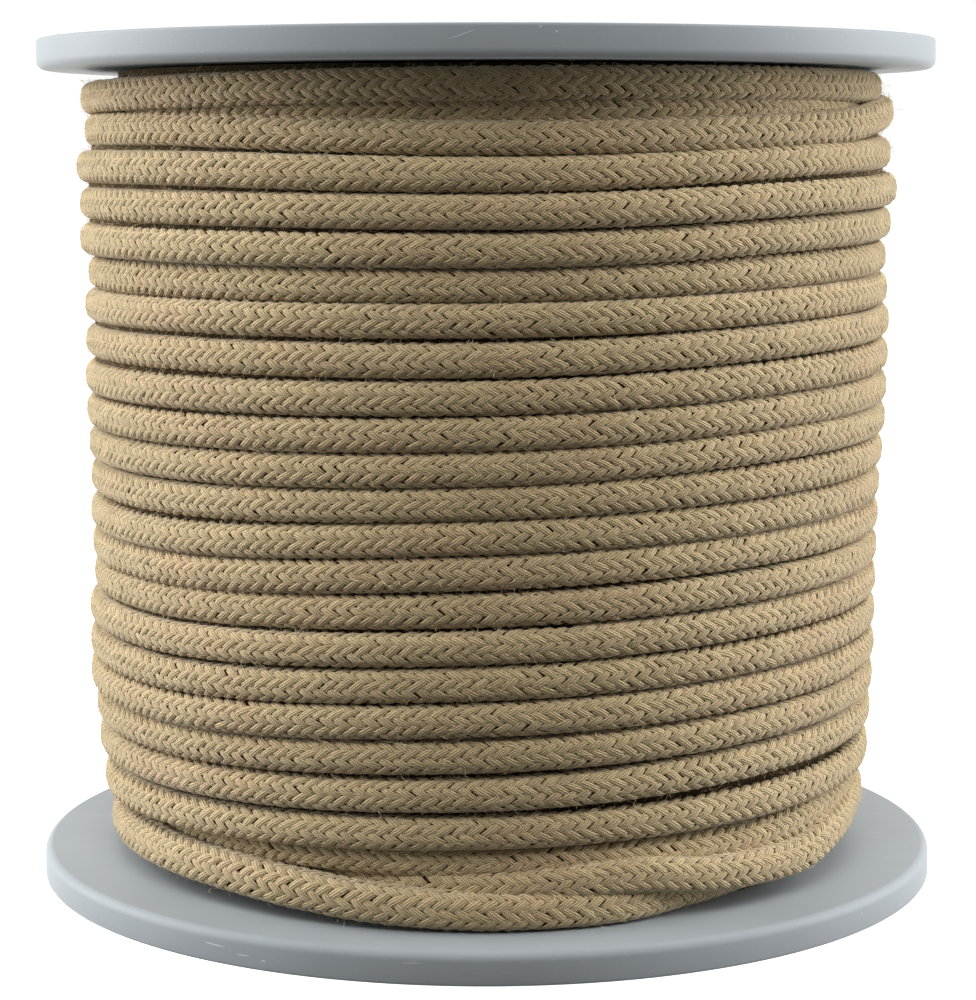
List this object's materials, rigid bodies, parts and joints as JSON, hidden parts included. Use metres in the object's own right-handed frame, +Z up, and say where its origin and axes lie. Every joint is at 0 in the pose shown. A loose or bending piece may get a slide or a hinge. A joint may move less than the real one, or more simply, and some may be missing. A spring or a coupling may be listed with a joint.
{
  "type": "braided rope on a plastic spool",
  "caption": "Braided rope wound in close, slightly uneven turns on a flanged plastic spool with a central bore, standing on its bottom flange.",
  "frame": {"origin": "centre of the bottom flange's outer face", "axes": "+Z up along the spool's axis, +X to the right seen from the front, the front of the winding towards -Y"},
  "size_m": [0.16, 0.16, 0.1485],
  "materials": {
    "spool_plastic": "satin moulded grey plastic with fine scuffs",
    "braided_rope": "matte tan braid of spun yarns with short fuzz"
  },
  "bodies": {
    "root": {"spool_flange_bottom": "spool_plastic", "spool_flange_top": "spool_plastic", "spool_barrel": "spool_plastic", "rope_winding": "braided_rope"}
  },
  "joints": []
}
